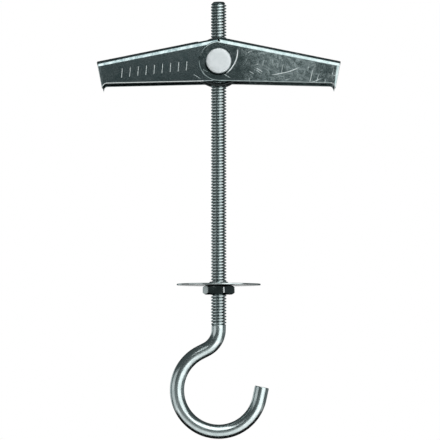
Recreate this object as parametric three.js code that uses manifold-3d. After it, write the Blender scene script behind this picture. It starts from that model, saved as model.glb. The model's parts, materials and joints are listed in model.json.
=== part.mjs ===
// A toggle anchor with a ceiling hook, for hollow ceilings.
//
// A threaded rod with a bent hook carries two sprung wings on a cross nut. Folded down along the
// rod the wings pass through a drilled hole. Above the board the spring swings them open, and
// the hex nut then clamps the washer against the board's underside.
//
// Millimetres, +Z up along the rod, +X along the right wing. The origin is on the rod's axis in
// the plane of the washer's upper face, which is the underside of the ceiling.

import * as THREE from "three";
import { mergeVertices } from "three/addons/utils/BufferGeometryUtils.js";
import Module from "manifold-3d";

const wasm = await Module();
wasm.setup();

// ---- Driving dimensions -----------------------------------------------------------------------

// Hook rod: a wire with a rolled thread on its upper length, bent into an open hook below.
const threadDiameter = 4; // over the crests
const wireDiameter = 3.7; // the plain wire
const rodTop = 73.5; // above the ceiling
const threadBelow = 10.8; // how far the thread runs on below the ceiling
const rodChamfer = 0.6; // at the rod's upper end
const neckLength = 1; // plain straight wire between the thread and the first bend
const neckBend = 5.85; // radius of the wire's centreline
const neckStraight = 2; // straight wire between the neck's bend and the hook's
const hookRadius = 10.8; // radius of the wire's centreline
const hookArcEnd = -12; // degrees above level at which the hook's arc ends
const hookTip = 3.1; // straight wire beyond the arc

// Cross nut: a turned bar across the rod, threaded through, with a peened head on each end.
const pivotHeight = 57.6; // above the ceiling
const crossNutDiameter = 8;
const tapCountersink = 0.4; // depth of the countersink at each mouth of the threaded hole
const journalDiameter = 5; // the wings turn on these
const headDiameter = 6.5;
const headThickness = 1.0;
const headEdge = 0.15; // rounding, as a chamfer, of the head's rim

// Wings: two like channels, pressed from sheet, each set half a step to one side of the middle.
const sheet = 0.7;
const wingWidth = 9; // over both flanges
const wingReach = 31.05; // from the pivot to the wing's end, along the web
const webHeight = 6.3; // from the pivot to the web's outer face
const insideBend = 0.8; // radius inside the channel's bends
const earRadius = 5.2; // of the flanges' round ends about the pivot
const earBlend = 4; // length over which the inner flange's edge falls back to its smaller ear
const webSlope = 11.4; // degrees below level of the open web
const edgeSlope = 1.3; // degrees below level of the open flanges' lower edges
const clawWidth = 0.9; // the spike at each flange's outer corner, along the wing
const clawDepth = 1.3; // below the flange's lower edge
const slotReach = 4.4; // how far past the pivot the slot for rod and spring goes
const slotCorner = 0.8;

// Spring: one turn and a bit of wire round the pivot, with a straight leg under each web.
const springWire = 0.8;
const springRadius = 6; // of the coil's centreline
const legSlope = 22; // degrees above level of the open legs
const crossingStart = 75; // degrees, where the coil starts to cross from front to back
const crossingEnd = -85; // degrees, where it has crossed

// Washer, raised at its hole so that it centres itself in the drilled hole.
const washerDiameter = 21.8;
const washerThickness = 0.4;
const washerHole = 4.35;
const raisedBase = 5.6; // diameter of the raised cone where it leaves the flat
const raisedHeight = 0.55;

// Hex nut
const nutAcrossFlats = 7.4;
const nutHeight = 2.35;
const nutFace = 6.9; // diameter of the flat that the corner chamfers leave
const nutTurn = -11; // degrees from +X to the nearest corner

// Clearances
const threadClearance = 0.1; // radial, between the rod and the pieces threaded onto it
const journalClearance = 0.1; // radial, in the ears' holes
const sideClearance = 0.1; // between faces that turn past each other
const earClearance = 0.15; // between the inner ear and the partner's bend
const springClearance = 0.15; // on each side of the coil in the wings' slots
const legClearance = 0.15; // under the webs
const stopGap = 0.3; // between the webs' inner ends where they stop each other
const seatGap = 0.05; // between the washer and the nut

// ---- Derived sizes ----------------------------------------------------------------------------

const radians = THREE.MathUtils.degToRad;
const threadRadius = threadDiameter / 2;
const tappedRadius = threadRadius + threadClearance;
const bend = insideBend + sheet; // outside radius of the channel's bends
const step = sheet + sideClearance; // how far the wings are set apart across the rod
const outerFace = (wingWidth + step) / 2; // outermost ears, from the rod's axis
const innerFace = outerFace - 2 * sheet - sideClearance; // inner side of the inner ears
const webTilt = radians(webSlope);
const taper = radians(webSlope - edgeSlope); // between the web and the flanges' lower edges

// The inner ear turns inside its partner's channel, so it stays clear of the partner's bend.
const bendRise = Math.sqrt(sideClearance * (2 * insideBend - sideClearance));
const innerEarRadius = Math.min(earRadius, webHeight - bend + bendRise - earClearance);

const springOffset = (threadRadius + innerFace) / 2; // front and back of the rod
const slotHalf = springOffset + springWire / 2 + springClearance;

// ---- Solids -----------------------------------------------------------------------------------

const ROUND = 48; // sides of a turned piece
const WIRE_SIDES = 24;
const SPRING_SIDES = 8;
const HOOK_STEPS = 68;
const SPRING_STEPS = 96;
const CORNER_STEPS = 3; // quarter arcs get twice as many sides

/** The closed mesh of a geometry as a solid. */
function solidOf(geometry) {
  geometry.deleteAttribute("normal");
  geometry.deleteAttribute("uv");
  const merged = mergeVertices(geometry);
  const vertProperties = merged.getAttribute("position").array;
  const triVerts = new Uint32Array(merged.index.array);
  return new wasm.Manifold(new wasm.Mesh({ numProp: 3, vertProperties, triVerts }));
}

/** The surface of a solid as a geometry. */
function geometryOf(solid) {
  const { vertProperties, triVerts } = solid.getMesh();
  const geometry = new THREE.BufferGeometry();
  geometry.setAttribute("position", new THREE.BufferAttribute(vertProperties, 3));
  geometry.setIndex(new THREE.BufferAttribute(triVerts, 1));
  geometry.computeVertexNormals();
  return geometry;
}

/** A solid of revolution about Z, from [radius, height] points up its outside. */
function turned(profile) {
  const points = profile.map(([radius, height]) => new THREE.Vector2(radius, height));
  return solidOf(new THREE.LatheGeometry(points, ROUND).rotateX(Math.PI / 2));
}

/** A round bar about Y, centred on the origin. */
function crossBar(radius, length) {
  return solidOf(new THREE.CylinderGeometry(radius, radius, length, ROUND));
}

/** An outline extruded by depth, with its own X, Y and depth laid along the given axes. */
function prism(outline, depth, alongX, alongY, alongDepth) {
  const options = { depth, bevelEnabled: false, curveSegments: CORNER_STEPS };
  const frame = new THREE.Matrix4().makeBasis(alongX, alongY, alongDepth);
  return solidOf(new THREE.ExtrudeGeometry(outline, options).applyMatrix4(frame));
}

/** A wire of round section along a centreline. */
function wireAlong(centreline, diameter, sides, steps) {
  const section = new THREE.Shape().absarc(0, 0, diameter / 2, 0, 2 * Math.PI);
  const options = { extrudePath: centreline, steps, curveSegments: sides / 2 };
  return solidOf(new THREE.ExtrudeGeometry(section, options));
}

const X = new THREE.Vector3(1, 0, 0);
const Y = new THREE.Vector3(0, 1, 0);
const Z = new THREE.Vector3(0, 0, 1);

/** A circular arc in the XZ plane about a centre, whose Y may change along the way. */
class Turn extends THREE.Curve {
  constructor(centre, radius, start, end, offset = () => 0) {
    super();
    Object.assign(this, { centre, radius, start, end, offset });
  }

  getPoint(t, target = new THREE.Vector3()) {
    const angle = THREE.MathUtils.lerp(this.start, this.end, t);
    target.set(Math.cos(angle), 0, Math.sin(angle)).multiplyScalar(this.radius);
    target.y = this.offset(angle);
    return target.add(this.centre);
  }
}

/** Lines and turns joined end to end. */
function pathOf(...pieces) {
  const path = new THREE.CurvePath();
  pieces.forEach((piece) => path.add(piece));
  return path;
}

// ---- Hook rod ---------------------------------------------------------------------------------

function hookCentreline() {
  // The neck bends away to the left, and the hook's ring then brings the load back under the rod.
  const neckTop = new THREE.Vector3(0, 0, -threadBelow);
  const bendStart = new THREE.Vector3(0, 0, neckTop.z - neckLength);
  const neckCentre = new THREE.Vector3(-neckBend, 0, bendStart.z);
  const radii = neckBend + hookRadius;
  const centres = Math.hypot(radii, neckStraight); // how far apart the two bends' centres are
  const drop = Math.sqrt(centres ** 2 - neckBend ** 2);
  const ringCentre = new THREE.Vector3(0, 0, bendStart.z - drop);
  const neckTurn = Math.atan2(drop, neckBend) - Math.acos(radii / centres);
  const arcEnd = 2 * Math.PI + radians(hookArcEnd);

  const neck = new Turn(neckCentre, neckBend, 0, -neckTurn);
  const ring = new Turn(ringCentre, hookRadius, Math.PI - neckTurn, arcEnd);
  const tipStart = ring.getPoint(1);
  const tipDirection = new THREE.Vector3(-Math.sin(arcEnd), 0, Math.cos(arcEnd));
  const tipEnd = tipStart.clone().addScaledVector(tipDirection, hookTip);
  // The wire starts inside the thread, so that the two make one solid.
  const inThread = new THREE.Vector3(0, 0, neckTop.z + wireDiameter / 2);
  return pathOf(
    new THREE.LineCurve3(inThread, bendStart),
    neck,
    new THREE.LineCurve3(neck.getPoint(1), ring.getPoint(0)),
    ring,
    new THREE.LineCurve3(tipStart, tipEnd),
  );
}

function hookRod() {
  // The thread runs out below on a cone of 45 degrees, which goes on inside the wire.
  const core = wireDiameter / 4;
  const runOut = threadRadius - core;
  const thread = turned([
    [0, -threadBelow - runOut],
    [core, -threadBelow - runOut],
    [threadRadius, -threadBelow],
    [threadRadius, rodTop - rodChamfer],
    [threadRadius - rodChamfer, rodTop],
    [0, rodTop],
  ]);
  return thread.add(wireAlong(hookCentreline(), wireDiameter, WIRE_SIDES, HOOK_STEPS));
}

// ---- Cross nut --------------------------------------------------------------------------------

function crossNut() {
  const bodyEnd = innerFace - sideClearance;
  const journalEnd = outerFace + sideClearance;
  const headEnd = journalEnd + headThickness;
  const half = [
    [crossNutDiameter / 2, bodyEnd],
    [journalDiameter / 2, bodyEnd],
    [journalDiameter / 2, journalEnd],
    [headDiameter / 2, journalEnd],
    [headDiameter / 2, headEnd - headEdge],
    [headDiameter / 2 - headEdge, headEnd],
    [0, headEnd],
  ];
  const mirrored = half.map(([radius, height]) => [radius, -height]).reverse();
  const bar = turned([...mirrored, ...half]).rotate([-90, 0, 0]);

  const mouth = crossNutDiameter / 2;
  const flare = tappedRadius + tapCountersink;
  const tapping = turned([
    [0, -mouth],
    [flare, -mouth],
    [tappedRadius, -mouth + tapCountersink],
    [tappedRadius, mouth - tapCountersink],
    [flare, mouth],
    [0, mouth],
  ]);
  return bar.subtract(tapping);
}

// ---- Wings ------------------------------------------------------------------------------------
// A wing is drawn about its pivot with its web level: X out along the web, Z up through the web.
// This is the right wing, whose outer flange is in front. The left one is the same piece turned
// half round the rod.

const wingFront = -outerFace;
const wingBack = wingFront + wingWidth;

function channel() {
  const bottom = -2 * earRadius;
  const shoulder = webHeight - bend;
  const section = new THREE.Shape();
  section.moveTo(wingFront, bottom);
  section.lineTo(wingFront, shoulder);
  section.absarc(wingFront + bend, shoulder, bend, Math.PI, Math.PI / 2, true);
  section.absarc(wingBack - bend, shoulder, bend, Math.PI / 2, 0, true);
  section.lineTo(wingBack, bottom);
  section.lineTo(wingBack - sheet, bottom);
  section.absarc(wingBack - bend, shoulder, insideBend, 0, Math.PI / 2, false);
  section.absarc(wingFront + bend, shoulder, insideBend, Math.PI / 2, Math.PI, false);
  section.lineTo(wingFront + sheet, bottom);
  section.closePath();
  const inner = 2 * earRadius;
  return prism(section, inner + 2 * wingReach, Y, Z, X).translate([-inner, 0, 0]);
}

/** The side view of one flange with its ear, from y = from to y = to. */
function flangeSide(ear, from, to) {
  // The open webs meet over the rod's axis, so the web's inner end is upright when it is open.
  const stop = stopGap / 2;
  const stopFoot = [stop * Math.cos(webTilt), stop * Math.sin(webTilt)];
  const stopTop = [(stop - webHeight * Math.sin(webTilt)) / Math.cos(webTilt), webHeight];

  // The lower edge touches the outer ear's circle. The inner ear's edge joins it past earBlend.
  const edgeAt = (x) => x * Math.tan(taper) - earRadius / Math.cos(taper);
  const joinX = earRadius * Math.sin(taper) + earBlend * Math.cos(taper);
  const join = [joinX, edgeAt(joinX)];
  const touch = Math.atan2(join[1], join[0]) - Math.acos(ear / Math.hypot(...join));

  const blade = new THREE.Shape();
  blade.moveTo(...stopFoot);
  blade.lineTo(ear * Math.cos(touch), ear * Math.sin(touch));
  blade.lineTo(...join);
  blade.lineTo(wingReach - clawWidth, edgeAt(wingReach - clawWidth));
  blade.lineTo(wingReach, edgeAt(wingReach) - clawDepth);
  blade.lineTo(wingReach, webHeight);
  blade.lineTo(...stopTop);
  blade.closePath();

  const width = to - from;
  const side = prism(blade, width, X, Z, Y.clone().negate()).translate([0, to, 0]);
  const disc = crossBar(ear, width).translate([0, (from + to) / 2, 0]);
  return side.add(disc);
}

/** The slot through the web for the rod and the spring, open at the inner end. */
function webSlot() {
  const start = -2 * earRadius;
  const cornerX = slotReach - slotCorner;
  const cornerY = slotHalf - slotCorner;
  const slot = new THREE.Shape();
  slot.moveTo(start, slotHalf);
  slot.lineTo(start, -slotHalf);
  slot.absarc(cornerX, -cornerY, slotCorner, -Math.PI / 2, 0, false);
  slot.absarc(cornerX, cornerY, slotCorner, 0, Math.PI / 2, false);
  slot.closePath();
  return prism(slot, 2 * webHeight, X, Y, Z);
}

function wing() {
  const middle = (wingFront + wingBack) / 2;
  const outerSide = flangeSide(earRadius, wingFront - sheet, middle);
  const innerSide = flangeSide(innerEarRadius, middle, wingBack + sheet);
  const pressed = channel().intersect(outerSide.add(innerSide));
  const pinHole = crossBar(journalDiameter / 2 + journalClearance, 2 * wingWidth);
  return pressed.subtract(pinHole).subtract(webSlot());
}

// ---- Spring -----------------------------------------------------------------------------------

/** Length of a leg from the coil to where its end lies just under the open web. */
function legLength() {
  const slope = radians(legSlope);
  const underWeb = webHeight - sheet - legClearance - springWire / 2;
  const rise = Math.sin(slope + webTilt); // towards the web, for each millimetre of leg
  return (underWeb + springRadius * Math.cos(slope + webTilt)) / rise;
}

function springCentreline() {
  // Seen from the front the coil runs clockwise from the right leg: under the rod, up on the
  // left, over in front of the rod, across to the back on the right, and under again behind.
  const slope = radians(legSlope);
  const start = slope - Math.PI / 2;
  const end = -slope - Math.PI / 2 - 2 * Math.PI;
  const crossed = radians(crossingEnd) - 2 * Math.PI;
  const uncrossed = radians(crossingStart) - 2 * Math.PI;
  const offset = (angle) => {
    const share = THREE.MathUtils.smootherstep(-angle, -uncrossed, -crossed);
    return THREE.MathUtils.lerp(-springOffset, springOffset, share);
  };
  const coil = new Turn(new THREE.Vector3(), springRadius, start, end, offset);
  const rightRoot = coil.getPoint(0);
  const leftRoot = coil.getPoint(1);
  const leg = new THREE.Vector3(Math.cos(slope), 0, Math.sin(slope)).multiplyScalar(legLength());
  const rightEnd = rightRoot.clone().add(leg);
  const leftEnd = leftRoot.clone().add(new THREE.Vector3(-leg.x, 0, leg.z));
  return pathOf(
    new THREE.LineCurve3(rightEnd, rightRoot),
    coil,
    new THREE.LineCurve3(leftRoot, leftEnd),
  );
}

function spring() {
  return wireAlong(springCentreline(), springWire, SPRING_SIDES, SPRING_STEPS);
}

// ---- Washer and nut ---------------------------------------------------------------------------

function washer() {
  // The hole's edge is pressed up into a cone at 45 degrees, at the sheet's own thickness.
  const rim = washerDiameter / 2;
  const base = raisedBase / 2;
  const hole = washerHole / 2;
  const underBase = base - washerThickness * Math.tan(Math.PI / 8);
  const lip = Math.max(base - raisedHeight, hole);
  return turned([
    [hole, raisedHeight],
    [hole, underBase - hole - washerThickness],
    [underBase, -washerThickness],
    [rim, -washerThickness],
    [rim, 0],
    [base, 0],
    [lip, base - lip],
    [hole, raisedHeight],
  ]);
}

function hexNut() {
  const corner = nutAcrossFlats / Math.sqrt(3);
  const hexagon = new THREE.Shape();
  for (let side = 0; side < 6; side++) {
    const angle = radians(nutTurn + 60 * side);
    hexagon.lineTo(corner * Math.cos(angle), corner * Math.sin(angle));
  }
  const bar = prism(hexagon, nutHeight, X, Y, Z);

  const chamfer = (corner - nutFace / 2) * Math.tan(Math.PI / 6);
  const chamfered = turned([
    [0, 0],
    [nutFace / 2, 0],
    [corner, chamfer],
    [corner, nutHeight - chamfer],
    [nutFace / 2, nutHeight],
    [0, nutHeight],
  ]);
  const bore = turned([
    [0, -nutHeight],
    [tappedRadius, -nutHeight],
    [tappedRadius, 2 * nutHeight],
    [0, 2 * nutHeight],
  ]);
  return bar.intersect(chamfered).subtract(bore);
}

// ---- Assembly ---------------------------------------------------------------------------------

function piece(name, geometry, color, roughness, metalness) {
  const material = new THREE.MeshStandardMaterial({ color, roughness, metalness });
  const mesh = new THREE.Mesh(geometry, material);
  mesh.name = name;
  return mesh;
}

const wingGeometry = geometryOf(wing());

const rightWing = piece("right_wing", wingGeometry, 0x6f7a7b, 0.3, 0.9);
rightWing.rotation.y = webTilt;

const leftWing = piece("left_wing", wingGeometry, 0x6f7a7b, 0.3, 0.9);
leftWing.rotation.y = webTilt;
const leftSide = new THREE.Group();
leftSide.rotation.z = Math.PI;
leftSide.add(leftWing);

const toggle = new THREE.Group();
toggle.position.z = pivotHeight;
toggle.add(piece("cross_nut", geometryOf(crossNut()), 0xc9cccb, 0.5, 0.7));
toggle.add(piece("spring", geometryOf(spring()), 0x8c9394, 0.25, 1));
toggle.add(rightWing, leftSide);

const hexNutMesh = piece("hex_nut", geometryOf(hexNut()), 0x596061, 0.3, 1);
hexNutMesh.position.z = -washerThickness - seatGap - nutHeight;

const anchor = new THREE.Group();
anchor.add(piece("hook_rod", geometryOf(hookRod()), 0x8f9899, 0.3, 1));
anchor.add(toggle);
anchor.add(piece("washer", geometryOf(washer()), 0xa9b0b0, 0.25, 1));
anchor.add(hexNutMesh);

export default anchor;
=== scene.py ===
# %% [markdown]
# # A toggle anchor with a ceiling hook
#
# A toggle anchor holds a lamp or a plant on a hollow ceiling. Its two sprung wings fold down along
# the rod, go up through a drilled hole and spring open above the board. A hex nut then pulls a
# washer against the ceiling, and the hook below carries the load.
#
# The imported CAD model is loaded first, as a frame that doesn't move. It has the true sizes and
# the joints. The pieces made below are finer meshes for its nodes, with their edges rounded and
# their threads cut, and they ride on its bodies.

import json
import math

import bmesh
import bpy
import numpy as np
from mathutils import Matrix, Vector
from mathutils.geometry import delaunay_2d_cdt


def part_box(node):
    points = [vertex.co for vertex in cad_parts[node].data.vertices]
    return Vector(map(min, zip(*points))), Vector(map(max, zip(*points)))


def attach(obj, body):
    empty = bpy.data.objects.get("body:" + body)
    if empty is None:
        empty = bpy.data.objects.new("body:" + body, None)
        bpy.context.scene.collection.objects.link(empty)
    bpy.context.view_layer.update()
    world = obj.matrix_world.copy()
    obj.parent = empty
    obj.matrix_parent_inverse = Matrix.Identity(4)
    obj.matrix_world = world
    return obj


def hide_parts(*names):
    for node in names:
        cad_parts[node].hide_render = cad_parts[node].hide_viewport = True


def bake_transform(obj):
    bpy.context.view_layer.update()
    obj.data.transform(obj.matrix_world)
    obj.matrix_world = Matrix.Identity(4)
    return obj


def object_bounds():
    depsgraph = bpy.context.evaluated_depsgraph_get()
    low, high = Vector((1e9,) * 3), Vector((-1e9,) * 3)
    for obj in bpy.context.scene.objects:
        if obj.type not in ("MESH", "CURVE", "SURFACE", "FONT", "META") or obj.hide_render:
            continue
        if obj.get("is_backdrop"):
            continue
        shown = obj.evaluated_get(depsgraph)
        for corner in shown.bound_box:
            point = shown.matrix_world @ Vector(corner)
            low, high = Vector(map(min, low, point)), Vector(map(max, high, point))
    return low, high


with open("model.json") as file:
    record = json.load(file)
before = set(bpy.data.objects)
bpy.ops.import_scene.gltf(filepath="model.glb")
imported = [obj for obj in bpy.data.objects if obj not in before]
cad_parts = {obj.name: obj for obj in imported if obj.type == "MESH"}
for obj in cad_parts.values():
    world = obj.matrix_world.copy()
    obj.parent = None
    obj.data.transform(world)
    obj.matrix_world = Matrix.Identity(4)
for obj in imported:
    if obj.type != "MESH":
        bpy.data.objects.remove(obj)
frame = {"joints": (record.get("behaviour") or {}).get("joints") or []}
cad_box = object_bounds()
joints = {joint["name"]: joint for joint in frame["joints"]}

MM = 0.001  # Blender's lengths are metres, and the sizes below are millimetres
PIVOT_HEIGHT = joints["right_wing_fold"]["pos_m"][2] / MM


def corners_mm(node):
    """Lowest and highest corner of a CAD node, in millimetres."""
    low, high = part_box(node)
    return low / MM, high / MM


# %% [markdown]
# ## The camera
#
# The camera comes first, because it decides how large a detail has to be to show. A long lens
# from far away keeps the rod's sides parallel, as a product catalogue does. It stands a little
# below the ceiling line and looks up, so the washer shows its underside. Its aim comes from the
# box of the whole model, with a small shift for the framing.

# %% The camera
CAMERA_DISTANCE = 700
CAMERA_DROP = 34.66  # below the point it looks at
VIEW_WIDTH = 114.4  # what the frame takes in at the object
FRAMING = Vector((0.34, 0, -0.08))

middle = (cad_box[0] + cad_box[1]) / 2 / MM
aim = Vector((0, 0, middle.z)) + FRAMING
camera_place = aim + Vector((0, -CAMERA_DISTANCE, -CAMERA_DROP))

camera = bpy.data.objects.new("camera", bpy.data.cameras.new("camera"))
bpy.context.scene.collection.objects.link(camera)
camera.location = camera_place * MM
camera.rotation_euler = (aim - camera_place).to_track_quat("-Z", "Y").to_euler()
camera.data.lens = camera.data.sensor_width * (aim - camera_place).length / VIEW_WIDTH
bpy.context.scene.camera = camera
bpy.context.scene.view_settings.view_transform = "Standard"
print(f"lens {camera.data.lens:.0f} mm")

# %% [markdown]
# ## Node helpers
#
# Bright zinc has little colour of its own: it shows what stands around it. So the studio matters
# as much as the finish, and both are made from shader nodes. These helpers keep the node code
# short: one adds a node and fills its inputs, one links or sets an input, and one starts a group.


# %% Node helpers
def plug(tree, socket, value):
    """Links a socket to value, or sets it where value is a plain number or colour."""
    if isinstance(value, bpy.types.NodeSocket):
        tree.links.new(value, socket)
    else:
        socket.default_value = value


def node(tree, kind, inputs=(), **settings):
    """A new node of a kind, with its settings and its inputs by name or number."""
    made = tree.nodes.new("ShaderNode" + kind)
    for name, value in settings.items():
        setattr(made, name, value)
    for key, value in dict(inputs).items():
        plug(tree, made.inputs[key], value)
    return made


def math_node(tree, operation, *values, clamp=False):
    """The result of a Math node."""
    made = node(tree, "Math", dict(enumerate(values)), operation=operation, use_clamp=clamp)
    return made.outputs[0]


def remap(tree, value, low, high, to_low=0.0, to_high=1.0, smooth=True):
    """Value moved from one range to another and kept inside it, with soft ends if smooth."""
    kind = "SMOOTHSTEP" if smooth else "LINEAR"
    inputs = {"Value": value, "From Min": low, "From Max": high,
              "To Min": to_low, "To Max": to_high}
    return node(tree, "MapRange", inputs, interpolation_type=kind).outputs["Result"]


def mix_colors(tree, share, first, second):
    """Two colours mixed by share. A Mix node has a set of sockets for each kind of value, and
    its colours are in sockets 6, 7 and 2."""
    made = node(tree, "Mix", {"Factor": share}, data_type="RGBA")
    plug(tree, made.inputs[6], first)
    plug(tree, made.inputs[7], second)
    return made.outputs[2]


def new_group(name, inputs, outputs):
    """A shader node group with named sockets, and its input and output nodes."""
    group = bpy.data.node_groups.new(name, "ShaderNodeTree")
    for socket, kind, value in inputs:
        made = group.interface.new_socket(socket, in_out="INPUT", socket_type=kind)
        made.default_value = value
    for socket, kind in outputs:
        group.interface.new_socket(socket, in_out="OUTPUT", socket_type=kind)
    return group, group.nodes.new("NodeGroupInput"), group.nodes.new("NodeGroupOutput")


FLOAT = "NodeSocketFloat"
print("node helpers ready")

# %% [markdown]
# ## The studio
#
# In a product studio, bright metal is lit with a few large soft boxes in a dark room: the boxes
# become the white bands on the bends and the rod, and the room becomes the dark between them. Each
# box is an area lamp here, close to the anchor as in a small light tent, so a band moves as it
# would on the bench. A lamp's power is worked out from how bright its face should look, because
# that is what the metal shows. Camera rays don't see the lamps.

# %% The soft boxes
SOFT_BOXES = [  # name, centre, where it faces, width, height, brightness of its face
    ("overhead_box", (55, -243, 256), (55, -24, 103), 300, 335, 1.60),
    ("right_box", (187, -257, -20), (-6, -96, -20), 350, 320, 1.15),
    ("left_card", (-295, -125, -40), (0, 0, -40), 260, 280, 0.55),
    ("back_card", (-257, 306, -10), (0, 0, -10), 220, 200, 0.90),
]
LAMP_TINT = (0.97, 1.0, 1.0)


def add_soft_box(name, centre, target, width, height, brightness):
    """An area lamp whose face has a given brightness, whatever its size."""
    data = bpy.data.lights.new(name, "AREA")
    data.shape = "RECTANGLE"
    data.size, data.size_y = width * MM, height * MM
    data.energy = brightness * math.pi * data.size * data.size_y
    data.color = LAMP_TINT
    lamp = bpy.data.objects.new(name, data)
    bpy.context.scene.collection.objects.link(lamp)
    lamp.location = Vector(centre) * MM
    facing = Vector(target) - Vector(centre)
    lamp.rotation_euler = facing.to_track_quat("-Z", "Y").to_euler()
    lamp.visible_camera = False


for soft_box in SOFT_BOXES:
    add_soft_box(*soft_box)
print(len(SOFT_BOXES), "soft boxes")

# %% [markdown]
# The world is the room round the tent. It is darkest above and below, and a little lighter at the
# sides and behind, near eye level. In front it is dark above the horizon and lighter from there
# down. The wings are higher than the camera, so their flat sides mirror the dark part, and the
# hook, which is level with it, mirrors the lighter one. Straight behind the anchor hangs the white
# backdrop. Camera rays see white wherever they miss, so every view has it, and the rays that metal
# mirrors or glass lets through see it as far as the backdrop reaches.

# %% The world
ROOM = (0.056, 0.070, 0.071, 1)
ROOM_FRONT = (0.20, 0.22, 0.22, 1)
ROOM_SIDE = (0.22, 0.245, 0.25, 1)
WHITE = (1, 1, 1, 1)
# A direction's Z is 0 at eye level and 1 straight up. Its Y is -1 to the front and 1 to the back.
EYE_LEVEL = (0.1, 0.3)  # how far above and below it the lighter part fades out
BEHIND = (-0.4, 0.3)
IN_FRONT = (-0.5, -0.8)
HORIZON = (0.09, -0.02)
BACKDROP = (math.cos(math.radians(9)), math.cos(math.radians(6)))  # its soft edge

world = bpy.data.worlds.new("studio")
bpy.context.scene.world = world
world.use_nodes = True
sky = world.node_tree
sky.nodes.clear()
direction = node(sky, "TexCoord").outputs["Generated"]
parts = node(sky, "SeparateXYZ", {0: direction})
level = remap(sky, math_node(sky, "ABSOLUTE", parts.outputs["Z"]), *EYE_LEVEL, 1, 0)
behind = remap(sky, parts.outputs["Y"], *BEHIND)
room = mix_colors(sky, math_node(sky, "MULTIPLY", level, behind), ROOM, ROOM_SIDE)
front = remap(sky, parts.outputs["Y"], *IN_FRONT)
low = remap(sky, parts.outputs["Z"], *HORIZON)
room = mix_colors(sky, math_node(sky, "MULTIPLY", front, low), room, ROOM_FRONT)
window = remap(sky, parts.outputs["Y"], *BACKDROP)
rays = node(sky, "LightPath").outputs
mirrored = math_node(sky, "MAXIMUM", rays["Is Glossy Ray"], rays["Is Transmission Ray"])
mirrored = math_node(sky, "MULTIPLY", mirrored, window)
seen = math_node(sky, "MAXIMUM", rays["Is Camera Ray"], mirrored)
background = node(sky, "Background", {"Color": mix_colors(sky, seen, room, WHITE)})
sky.links.new(background.outputs[0], node(sky, "OutputWorld").inputs["Surface"])
print("world ready")

# %% [markdown]
# ## The floor
#
# The anchor hangs in the air, as from a ceiling, over a pale floor that catches its shadow. The
# floor also lights the lower edges from below, as a sheet of white paper does. Towards its rim it
# fades into the white of the backdrop: the mask is only a distance, so any view can use it. Seen
# from below it is clear, because a camera under the floor would see nothing else.

# %% The floor
FLOOR_DROP = 150
FLOOR_RADIUS = 700
FLOOR_SIDES = 96
FLOOR_FADE = (260, 620)  # from where to where it fades out
FLOOR_GLOW = 0.5  # what the eye and the metal see of it beyond what the lamps give
PAPER_WHITE = (0.86, 0.87, 0.87, 1)

floor_mesh = bpy.data.meshes.new("floor")
shape = bmesh.new()
bmesh.ops.create_circle(shape, cap_ends=True, segments=FLOOR_SIDES, radius=FLOOR_RADIUS * MM)
shape.to_mesh(floor_mesh)
shape.free()
floor = bpy.data.objects.new("floor", floor_mesh)
floor.location.z = cad_box[0].z - FLOOR_DROP * MM
bpy.context.scene.collection.objects.link(floor)

paper = bpy.data.materials.new("pale_floor")
paper.use_nodes = True
sheet = paper.node_tree
sheet.nodes.clear()
place = node(sheet, "TexCoord").outputs["Object"]
distance = node(sheet, "VectorMath", {0: place}, operation="LENGTH").outputs["Value"]
fade = remap(sheet, distance, FLOOR_FADE[0] * MM, FLOOR_FADE[1] * MM)
matte = node(sheet, "BsdfDiffuse", {"Color": PAPER_WHITE})
rays = node(sheet, "LightPath").outputs
shows = math_node(sheet, "MAXIMUM", rays["Is Camera Ray"], rays["Is Glossy Ray"])
shows = math_node(sheet, "MAXIMUM", shows, rays["Is Transmission Ray"])
glow = node(sheet, "Emission", {"Strength": math_node(sheet, "MULTIPLY", shows, FLOOR_GLOW)})
lit_paper = node(sheet, "AddShader", {0: matte.outputs[0], 1: glow.outputs[0]})
clear = node(sheet, "BsdfTransparent")
away = math_node(sheet, "MAXIMUM", fade, node(sheet, "NewGeometry").outputs["Backfacing"])
surface = node(sheet, "MixShader", {0: away, 1: lit_paper.outputs[0], 2: clear.outputs[0]})
sheet.links.new(surface.outputs[0], node(sheet, "OutputMaterial").inputs["Surface"])
floor_mesh.materials.append(paper)
floor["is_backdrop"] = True
print(f"floor at {floor.location.z / MM:.0f} mm")

# %% [markdown]
# A black flag lies over the floor's far half. Such a card draws a thin dark line along the lower
# edge of bright metal. Only reflections see it here: it is left out for the camera and for soft
# light, and it throws no shadow.

# %% The black flag
FLAG = [(-300, -45), (300, -45), (300, 420), (-300, 420)]  # its corners
FLAG_ABOVE = 10
FELT_BLACK = (0.02, 0.02, 0.02, 1)

flag_mesh = bpy.data.meshes.new("black_flag")
flag_mesh.from_pydata([Vector((x, y, 0)) * MM for x, y in FLAG], [], [(0, 1, 2, 3)])
felt = bpy.data.materials.new("black_felt")
felt.use_nodes = True
felt_inputs = felt.node_tree.nodes["Principled BSDF"].inputs
felt_inputs["Base Color"].default_value = FELT_BLACK
felt_inputs["Roughness"].default_value = 1
flag_mesh.materials.append(felt)
flag = bpy.data.objects.new("black_flag", flag_mesh)
flag.location.z = floor.location.z + FLAG_ABOVE * MM
flag.visible_camera = flag.visible_diffuse = flag.visible_shadow = False
bpy.context.scene.collection.objects.link(flag)
flag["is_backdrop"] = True
print(f"flag at {flag.location.z / MM:.0f} mm")

# %% [markdown]
# ## Finishes
#
# All pieces are steel. Most are zinc plated, and the plating has clouds of tone, a fine grain and
# hair scratches from the drum in which the pieces tumble. These three effects are groups, so each
# material takes them in its own strength. A group only makes masks and values: the metal itself
# is a Principled shader in each material.


# %% Plating clouds
SLOW_SHARE, FINE_SHARE = 0.6, 0.4
FINER = 5  # how many times smaller the fine clouds are
CLOUD_GAIN = 2.5  # a noise keeps near its middle, and this spreads it from 0 to 1


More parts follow.
